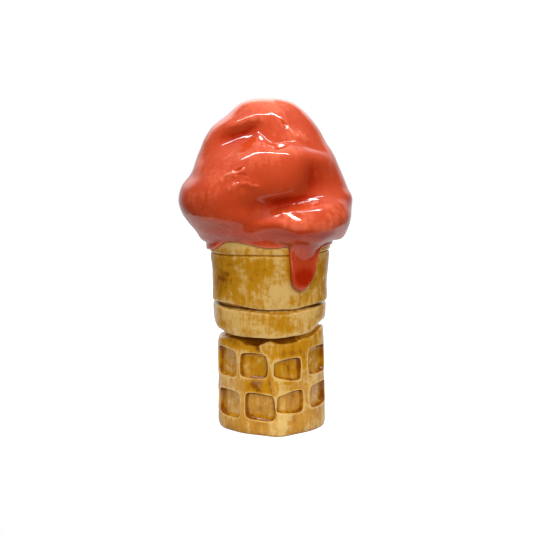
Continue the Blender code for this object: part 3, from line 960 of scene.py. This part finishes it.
# A fold is averaged over these turns to each side, in degrees, with these weights.
FOLD_EASE = ((-8, -4, 0, 4, 8), (0.1, 0.24, 0.32, 0.24, 0.1))


class Fold(NamedTuple):
    """A line round the scoop: its height and its radius at each bearing."""

    heights: tuple
    radii: tuple
    bearings: tuple = FOLD_BEARINGS


# The scoop's folds, from the crown down.
FOLDS = {
    "crown": Fold(
        (
            142.4, 142.2, 141.8, 141.6, 141.6, 141.6, 141.4, 141.4, 141.8, 142.2, 142.2, 142.2,
            142.2, 142.4,
        ),
        (11.6, 11.4, 10.8, 9.8, 8.8, 8.2, 7.8, 8.4, 9.2, 9.6, 9.8, 10, 10.2, 11),
    ),
    "temple": Fold(
        (137, 137.2, 137.8, 138.8, 139.2, 138.4, 135, 134.8, 136.6, 136.8, 136.8, 137.2, 138, 137.2),
        (18.2, 17.6, 15.8, 13.9, 12.3, 12.5, 15, 14.6, 14.9, 16.2, 16.6, 16.4, 16, 17.4),
    ),
    "brow": Fold(
        (131.2, 131, 132.2, 135, 136.4, 134.4, 131, 131.2, 130.4, 130.6, 130.4, 131, 132, 131.5),
        (25.4, 24, 20.8, 17.3, 15.4, 15.3, 17.2, 17, 19.4, 21.2, 21.6, 21, 20.5, 22.8),
    ),
    "hollow": Fold(
        (126.9, 126.6, 128, 130.6, 131.8, 129.6, 127.6, 129.2, 126.6, 125.5, 125.5, 126, 126.5, 127),
        (28.2, 26.2, 19.4, 16.4, 16.4, 17.6, 18.9, 19.6, 22, 24.1, 24.3, 24.5, 25, 26.2),
    ),
    "crease": Fold(
        (
            121.9, 121.4, 124.2, 127.4, 128.8, 127.8, 124.8, 123.8, 124.6, 125.8, 124.2, 122,
            121.7, 121, 121, 121, 121.5,
        ),
        (30.3, 28.6, 22.8, 18, 17.8, 18.4, 20.2, 20.9, 20.8, 20.8, 22.4, 25, 26.8, 27, 27, 27.5, 29),
        (-90, -65, -45, -28, -16, -8, 0, 9, 18, 26, 38, 56, 75, 100, 135, 180, -135),
    ),
    "ledge": Fold(
        (118.8, 118.3, 120.2, 123.6, 125.4, 123.4, 124, 122.6, 120.4, 119.2, 118.4, 118.2, 118, 118.4),
        (31.6, 30.4, 27, 22.4, 22.4, 23.8, 23.4, 24.8, 26.8, 28.2, 28.6, 28.8, 29.4, 31),
    ),
    "belly_edge": Fold(
        (116.2, 115.4, 115.4, 119, 122, 122.6, 122.4, 120.6, 117.6, 116.3, 115.5, 115, 114.5, 115),
        (32.4, 32.4, 31, 28.6, 27, 26.8, 26.4, 27.2, 28.6, 29.4, 30, 30.5, 31, 32.6),
    ),
    "belly": Fold(
        (112.2, 110.8, 110.4, 111.6, 113.2, 113.6, 113, 112.4, 112, 111.5, 110, 109.5, 109, 110),
        (33.9, 34.6, 35.2, 32.8, 31.2, 31.6, 30.8, 27.6, 29.2, 31.1, 32.5, 33, 33, 34.5),
    ),
    "hem": Fold(
        (105.6, 104.8, 104.4, 104.8, 104.8, 104.8, 106, 107.4, 106.8, 106, 104, 103.5, 103, 103.5),
        (38.5, 38.9, 37.8, 35.2, 31.8, 31.6, 30.4, 27.2, 30.2, 33.4, 34.7, 35, 35.5, 37),
    ),
    "under_hem": Fold(
        (99.4, 98.8, 98.5, 98.8, 99.4, 99, 100.6, 102.6, 103.2, 102.4, 99.8, 99, 98.5, 99),
        (39.6, 39.6, 37.9, 35.4, 29.8, 27.2, 27.2, 28.6, 32.4, 35.8, 35.8, 35.8, 36, 37.6),
    ),
    "lobe_edge": Fold(
        (94, 94, 93.6, 93.4, 94.2, 95.4, 96.6, 98.4, 99.8, 97.6, 95, 94.5, 94, 94),
        (38, 37.4, 36.6, 34.8, 30.6, 30.6, 33.6, 35.2, 36.4, 36.2, 35.3, 35.5, 35.5, 36.5),
    ),
    "lobe": Fold(
        (90.3, 90.3, 90, 89.8, 91, 92.4, 89.8, 90, 93.4, 93, 91, 90, 89.5, 89.5),
        (35.6, 34.8, 33.6, 31.8, 30.8, 33, 36.6, 38.3, 38.6, 36.3, 34.9, 34.5, 34, 34.5),
    ),
    "lobe_foot": Fold(
        (86.4, 86.2, 86.3, 86.6, 86.6, 87.8, 85.6, 85.2, 88.4, 88.3, 87, 86, 85.5, 85.5),
        (32.3, 31.6, 30.6, 29.6, 29.2, 30.4, 34, 35.4, 36, 35, 33, 31.8, 31, 31),
    ),
    "skirt": Fold(
        (82.6, 83.2, 84.6, 84.8, 84.2, 84.4, 83.2, 82, 83.6, 83.4, 83, 83, 82.6, 82.6),
        (29.9, 29.1, 28.3, 28, 27.9, 27.9, 30.6, 31.4, 30.8, 31.6, 31, 29.1, 29, 29.2),
    ),
}

# Where the scoop ends below: a wavy skirt on the lip, and one drip down the cup.
SKIRT_EDGE = (
    (-180, 80.4), (-140, 79.2), (-100, 78), (-78, 78.6), (-58, 80.2), (-50, 82.2), (-43, 83.6),
    (-34, 83.8), (-20, 83), (-4, 81.5), (8, 81.4), (15, 81.6), (18.2, 79.6), (19.3, 72.5),
    (20.4, 67), (22.8, 64.3), (26, 63), (29.5, 62.6), (33.5, 63.2), (37.5, 64.9), (41.8, 67.8),
    (45.4, 72), (48.2, 76.2), (51.5, 79.2), (58, 80.6), (66, 80.8), (90, 80.4), (130, 79.2),
    (180, 80.4),
)
# The dark dabs in the brow hollow, on the belly, in the valley, on the lobes and under the hem and
# lobe edges are partly thick glaze and partly painted shade, where these places face down or lie under
# overhangs; the dab on the drip's bulb is the glaze's own colour.
SCOOP_COAT = Coat(
    rounds=160,
    everywhere=0.25,
    dabs=(
        (-47, 127.5, 8, 5, 1.6), (-10, 129.5, 4, 3, 0.6), (10, 110, 13, 8, 0.8),
        (42, 113, 7, 8, 1.4), (-25, 99, 10, 7, 0.9), (-75, 100, 7, 6, 1.1),
        (31.5, 68.4, 7.4, 4.6, 3.2), (45, 86.5, 8, 2, 1.2), (0, 143, 12, 5, -0.6),
        (60, 133, 5, 8, 0.7), (-70, 114, 6, 5, -0.3), (14, 99, 10, 3, 0.6), (18, 87.8, 9, 1.7, 2),
        (40, 87.2, 8, 1.8, 2.2), (-2, 92, 5, 2, 1.4), (64, 92, 5, 3, 1.4),
        (-60, 106.5, 10, 1.6, 1), (-82, 98, 6, 8, 1.4), (75, 97, 6, 8, 1.4), (20, 102, 12, 2, 1.6),
    ),
)
# How the skirt falls to its edge: the share of the way left, and the radius there.
SKIRT_FALL = ((0.3, 27.7), (0.6, 28.2), (0.85, 28.5), (1.0, 27.9))
EDGE_ROUNDING = 0.9
SKIRT_INSIDE = 22.0
# The crown isn't drawn together to a point.
LEAST_RADIUS = 0.02
SCOOP_STEPS = 360
SCOOP_RINGS = 230
SCOOP_VOXEL = 0.5 * MM
MELT_ROUNDS = 8
# How much of the clay's unevenness the thick glaze lets through, and only inwards.
RIPPLE_SHARE = 0.2
RIPPLE_SIZE = 3.2 * MM


class Stroke(NamedTuple):
    """A push of the thumbs along a line of (bearing, height) points. It moves the clay
    out by the rise, less and less towards its width to each side."""

    points: tuple
    width: float
    rise: float


STROKES = {
    "upper_wrinkle": Stroke(((-34.7, 110.3), (-27.3, 113), (-20.5, 114.3)), 1.3, 0.5),
    "back_fold": Stroke(((112, 116), (138, 121), (168, 118), (200, 111), (232, 113)), 4.0, 1.2),
    "back_lap": Stroke(((122, 99), (150, 95), (185, 99), (214, 96)), 2.4, -1.0),
    "back_dimple": Stroke(((176, 128), (192, 126)), 3.4, -1.1),
    "lower_wrinkle": Stroke(((-28, 106.7), (-21.6, 108.9), (-14.8, 108.5), (-8.2, 106.9)), 1.3, 0.5),
}
# The flats that catch the light of the tube.
SCOOP_FLATS = (
    Flat(17.1, 95.5, 4.4, 1.9, -18, 8, 46.4), Flat(35.7, 101.8, 2, 0.9, 0, 14.7, 48.7),
    Flat(27, 131.7, 3, 1.1, -58, 5.2, 48.9), Flat(-11, 127.2, 2.6, 1.2, -50, -2, 48.2),
    Flat(12.6, 124, 3.4, 0.8, 14, 5.5, 48.2), Flat(-27.8, 113.5, 3.6, 0.7, 28, -7.1, 47.5),
    Flat(-24.1, 112.1, 1.6, 0.6, 20, -7.4, 47.4), Flat(-18.1, 111.7, 1.7, 0.6, -38, -4.9, 47),
    Flat(-24.4, 109, 1.7, 0.6, 36, -7.4, 47.2), Flat(-17.2, 109.5, 2, 0.6, 0, -5, 46.9),
    Flat(-10.7, 108.5, 1.7, 0.6, -26, -4.3, 46.8), Flat(-38.2, 120.3, 1.3, 0.8, 50, -12.5, 49.3),
    Flat(41.8, 101.7, 1.2, 0.8, 0, 14.2, 48.6),
)
# How flat a stroke's push is in its middle: 2 is a soft hill, more is a pillow.
STROKE_FULLNESS = 2.6
LINE_STEPS = 14


def round_line(fold, degrees):
    """The height and the radius of a fold at each bearing, smooth all the way round."""
    once = sorted(zip(fold.bearings, fold.heights, fold.radii))
    closed = [(b + turn, z, r) for turn in (-360, 0, 360) for b, z, r in once]
    bearings, *values = zip(*closed)
    return np.array([
        sum(w * along(list(zip(bearings, v)), degrees + turn) for turn, w in zip(*FOLD_EASE))
        for v in values
    ])


def lofted_dome(degrees, top):
    """The heights and the radii of rings, from the crown to the skirt's edge, on a
    smooth surface through the folds."""
    lines = [(np.full_like(degrees, top), np.zeros_like(degrees))]
    lines += [round_line(fold, degrees) for fold in FOLDS.values()]
    edge = along(SKIRT_EDGE, degrees)
    for share, radius in SKIRT_FALL:
        height = lines[-1][0] * (1 - share) + edge * share
        lines.append((height, np.full_like(degrees, radius)))
    heights, radii = np.array(lines).transpose(1, 0, 2)
    shares = np.linspace(0, 1, SCOOP_RINGS)
    made = np.empty((2, SCOOP_RINGS, len(degrees)))
    for n in range(len(degrees)):
        z = np.concatenate(([heights[1, n]], heights[:, n]))
        r = np.concatenate(([-radii[1, n]], radii[:, n]))
        walked = np.concatenate(([0.0], np.cumsum(np.hypot(np.diff(z), np.diff(r)))))
        walked -= walked[1]
        at = shares * walked[-1]
        made[0, :, n] = along(list(zip(walked, z)), at)
        made[1, :, n] = along(list(zip(walked, r)), at)
    return made


def smooth_line(points):
    """More points on the smooth line through a stroke's own points."""
    last = len(points) - 1
    steps = np.linspace(0, last, LINE_STEPS * last + 1)
    return [along(list(enumerate(values)), steps) for values in zip(*points)]


def strokes_rise(degrees, height, radius):
    """How far, in millimetres, the strokes move places of the dome out."""
    rise = np.zeros_like(radius)
    for stroke in STROKES.values():
        nearest = np.full_like(radius, np.inf)
        for turn, level in zip(*smooth_line(stroke.points)):
            across = np.radians(wrapped(degrees - turn)) * radius
            nearest = np.minimum(nearest, np.hypot(across, height - level))
        rise += stroke.rise * np.exp(-((nearest / stroke.width) ** STROKE_FULLNESS))
    return rise


class CONE_OT_scoop(bpy.types.Operator):
    """Models the melting scoop with its folds, lobes, skirt and drip"""

    bl_idname = "ceramic_cone.scoop"
    bl_label = "Scoop"

    def execute(self, context):
        top = context.scene.clay_sizes.scoop_top / MM
        drum, column, row = add_drum("scoop_clay", SCOOP_STEPS, SCOOP_RINGS)
        turns = wrapped(np.arange(SCOOP_STEPS) * 360.0 / SCOOP_STEPS)
        heights, radii = lofted_dome(turns, top)
        degrees, level = turns[column], SCOOP_RINGS - row
        inside = row == 0
        level[inside] = SCOOP_RINGS - 1
        height, radius = heights[level, column], radii[level, column]
        edge = heights[-1, column]
        radius = radius + strokes_rise(degrees, height, radius)
        radius -= EDGE_ROUNDING * np.exp((edge - height) / EDGE_ROUNDING)
        radius[inside] = SKIRT_INSIDE
        radius = np.maximum(radius, LEAST_RADIUS)
        write_points(drum, from_polar(degrees, radius * MM, height * MM))
        close_ends(drum)
        apply_modifier(drum, "REMESH", mode="VOXEL", voxel_size=SCOOP_VOXEL, use_smooth_shade=True)
        apply_modifier(drum, "SMOOTH", factor=0.5, iterations=MELT_ROUNDS)
        ripple = clay_noise(read_points(drum), RIPPLE_SIZE, CLAY_SEEDS["scoop"]) - 1.0
        push_out(drum, context.scene.clay_sizes.clay_grain * RIPPLE_SHARE * ripple)
        flatten(drum, SCOOP_FLATS)
        finish_piece(drum, fired_glaze("coral"), SCOOP_COAT, "scoop")
        return {"FINISHED"}


# The stage.

CAMERA_PLACE = (-1.3 * MM, -540.0 * MM, 137.0 * MM)
CAMERA_TILT = 83.0
FILM_WIDTH = 36.0
# The lens and the frame in the photograph's pixels.
LENS_PIXELS, FRAME_PIXELS = 1238, 533
FLOOR_FRONT = -0.085
FLOOR_SIZE = (0.34, 1.2)
FLOOR_SHADE = 0.5
FLOOR_ROUGHNESS = 0.9
WHITE = (1.0, 1.0, 1.0, 1.0)
# How bright the room is: where along a direction's share of +Y or +Z the light starts
# and is full, and how bright it is at each.
BEHIND = (0.5, 1.0, 0.05, 0.7)
HIGH_BEHIND = (0.1, 0.7, 1.0, 5.5)
OVERHEAD = (0.45, 1.0, 0.0, 0.8)


class Lamp(NamedTuple):
    """A rectangular lamp: its place, the point that it faces, its size and its power."""

    place: tuple
    target: tuple
    size: tuple
    energy: float


TUBE = Lamp((-0.03, -0.12, 0.9), (-0.03, 0, 0.1), (1.06, 0.035), 7.0)
SOFT = Lamp((0.08, -0.8, 0.42), (0, 0, 0.08), (1.7, 0.4), 9.6)


def floor_surface():
    """A pale, dull floor that the camera sees as white."""
    material = bpy.data.materials.new("pale_floor")
    material.use_nodes = True
    shader = material.node_tree.nodes["Principled BSDF"]
    shader.inputs["Base Color"].default_value = (FLOOR_SHADE, FLOOR_SHADE, FLOOR_SHADE, 1.0)
    shader.inputs["Roughness"].default_value = FLOOR_ROUGHNESS
    shader.inputs["Emission Color"].default_value = WHITE
    n = Nodes(material.node_tree)
    n.join(n.add("LightPath").outputs["Is Camera Ray"], shader.inputs["Emission Strength"])
    return material


def add_lamp(name, lamp):
    select_none()
    aim = (Vector(lamp.target) - Vector(lamp.place)).to_track_quat("-Z", "Y").to_euler()
    bpy.ops.object.light_add(type="AREA", location=lamp.place, rotation=aim)
    light = bpy.context.active_object
    light.name = name
    light.data.shape = "RECTANGLE"
    light.data.size, light.data.size_y = lamp.size
    light.data.energy = lamp.energy
    return light


def studio_world():
    """White behind the object and pale overhead, and a dark room on the camera's side."""
    world = bpy.data.worlds.new("studio")
    bpy.context.scene.world = world
    world.use_nodes = True
    n = Nodes(world.node_tree)
    background = world.node_tree.nodes["Background"]
    split = n.add("SeparateXYZ")
    n.join(n.add("TexCoord").outputs["Generated"], split.inputs[0])
    towards, up = split.outputs["Y"], split.outputs["Z"]
    behind = n.math("MULTIPLY", n.fit(towards, *BEHIND), n.fit(up, *HIGH_BEHIND))
    strength = n.add("Mix")
    n.feed(strength.inputs[0], n.add("LightPath").outputs["Is Camera Ray"])
    n.feed(strength.inputs[2], n.math("MAXIMUM", behind, n.fit(up, *OVERHEAD)))
    n.feed(strength.inputs[3], 1.0)
    n.join(strength.outputs[0], background.inputs["Strength"])
    background.inputs["Color"].default_value = WHITE


class CONE_OT_stage(bpy.types.Operator):
    """Sets up the floor, the lights and the camera"""

    bl_idname = "ceramic_cone.stage"
    bl_label = "Stage"

    def execute(self, context):
        select_none()
        wide, deep = FLOOR_SIZE
        bpy.ops.mesh.primitive_plane_add(size=1.0, location=(0, FLOOR_FRONT + deep / 2, 0))
        floor = context.active_object
        floor.scale = (wide, deep, 1.0)
        bpy.ops.object.transform_apply(location=False, rotation=False, scale=True)
        floor.name = "floor"
        floor.data.materials.append(floor_surface())
        tube, soft = add_lamp("tube", TUBE), add_lamp("soft", SOFT)
        soft.visible_glossy = False
        studio_world()
        tilt = math.radians(CAMERA_TILT)
        bpy.ops.object.camera_add(location=CAMERA_PLACE, rotation=(tilt, 0, 0))
        camera = context.active_object
        camera.data.sensor_width = FILM_WIDTH
        camera.data.lens = FILM_WIDTH * LENS_PIXELS / FRAME_PIXELS
        camera.data.clip_start = 10.0 * MM
        context.scene.camera = camera
        context.scene.view_settings.view_transform = "Standard"
        return {"FINISHED"}


class CONE_PT_pieces(bpy.types.Panel):
    """Lists the pieces of the cone and their settings"""

    bl_label = "Ceramic Cone"
    bl_idname = "CONE_PT_pieces"
    bl_space_type = "VIEW_3D"
    bl_region_type = "UI"
    bl_category = "Ceramic Cone"

    def draw(self, context):
        layout = self.layout
        for settings in (context.scene.clay_sizes, context.scene.glaze_colours):
            for name in settings.__annotations__:
                layout.prop(settings, name)
        for step in STEPS:
            layout.operator(step.bl_idname)


SETTINGS = (ClaySizes, GlazeColours)
STEPS = (CONE_OT_waffle_base, CONE_OT_collar_band, CONE_OT_cup, CONE_OT_scoop, CONE_OT_stage)
CLASSES = (*SETTINGS, *STEPS, CONE_PT_pieces)


def register():
    for each in CLASSES:
        bpy.utils.register_class(each)
    bpy.types.Scene.clay_sizes = bpy.props.PointerProperty(type=ClaySizes)
    bpy.types.Scene.glaze_colours = bpy.props.PointerProperty(type=GlazeColours)


def unregister():
    del bpy.types.Scene.glaze_colours
    del bpy.types.Scene.clay_sizes
    for each in reversed(CLASSES):
        bpy.utils.unregister_class(each)


def main():
    register()
    bpy.ops.ceramic_cone.waffle_base()
    bpy.ops.ceramic_cone.collar_band()
    bpy.ops.ceramic_cone.cup()
    bpy.ops.ceramic_cone.scoop()
    bpy.ops.ceramic_cone.stage()


if __name__ == "__main__":
    main()
